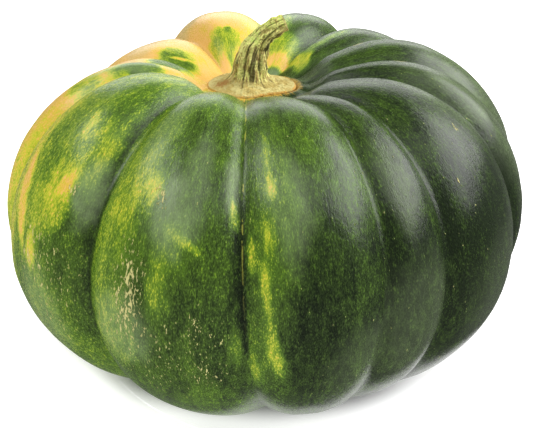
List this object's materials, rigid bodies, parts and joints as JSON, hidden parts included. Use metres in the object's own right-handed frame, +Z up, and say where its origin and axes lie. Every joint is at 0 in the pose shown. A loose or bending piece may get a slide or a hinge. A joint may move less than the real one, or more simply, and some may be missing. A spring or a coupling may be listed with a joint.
{
  "type": "pumpkin",
  "caption": "Whole ribbed pumpkin, a flattened round fruit with green and orange skin and a short bent stalk in its top, resting on its underside.",
  "frame": {"origin": "on the floor, under the middle of the whole object's box", "axes": "+Z up along the fruit's core, -Y towards the side that the picture shows, +X towards the side that the stalk bends to"},
  "size_m": [0.3042, 0.3012, 0.2132],
  "materials": {
    "rind": "waxy satin rind, dark green with yellow-green flecks and orange patches",
    "stalk": "dry, ridged, olive and tan"
  },
  "bodies": {
    "root": {"fruit": "rind", "stem": "stalk"}
  },
  "joints": []
}
